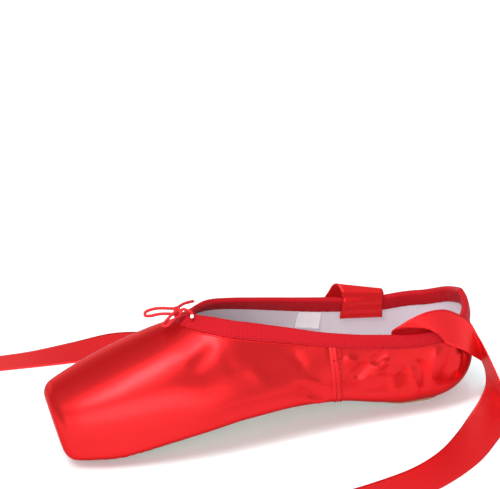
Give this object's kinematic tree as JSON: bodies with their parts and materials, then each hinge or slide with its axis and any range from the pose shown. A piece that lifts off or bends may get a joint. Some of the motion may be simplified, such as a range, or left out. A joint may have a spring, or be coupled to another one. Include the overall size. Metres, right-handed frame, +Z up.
{
  "type": "pointe shoe",
  "caption": "Satin pointe shoe with a stiff box and flat toe platform, thin leather sole, bound collar with a drawstring bow, and two sewn ribbons.",
  "frame": {"origin": "middle of the shoe's footprint box on the floor, measured without the ribbons and the drawstring's bow", "axes": "+Z up, the toe points along -X, the shoe is the same on both sides of the XZ plane"},
  "size_m": [0.2646, 0.2722, 0.0712],
  "materials": {
    "satin": "glossy red satin weave",
    "sole_leather": "plain buffed sole leather",
    "insole_board": "warm grey covered board, matt",
    "binding_cotton": "ribbed cotton tape, dull crimson, stitched along its lower edge",
    "ribbon_satin": "glossy red satin ribbon",
    "tag_cloth": "plain white woven tag, bare",
    "drawstring_cord": "red cotton cord with pale cut ends"
  },
  "bodies": {
    "root": {"upper": "satin", "outsole": "sole_leather", "insole": "insole_board", "binding": "binding_cotton", "ribbon_near_flap": "ribbon_satin", "ribbon_near": "ribbon_satin", "ribbon_far_flap": "ribbon_satin", "ribbon_far": "ribbon_satin", "size_tag": "tag_cloth", "bow_knot": "drawstring_cord", "bow_loop_far": "drawstring_cord", "bow_loop_near": "drawstring_cord", "bow_end_far": "drawstring_cord", "bow_end_near": "drawstring_cord"}
  },
  "joints": []
}
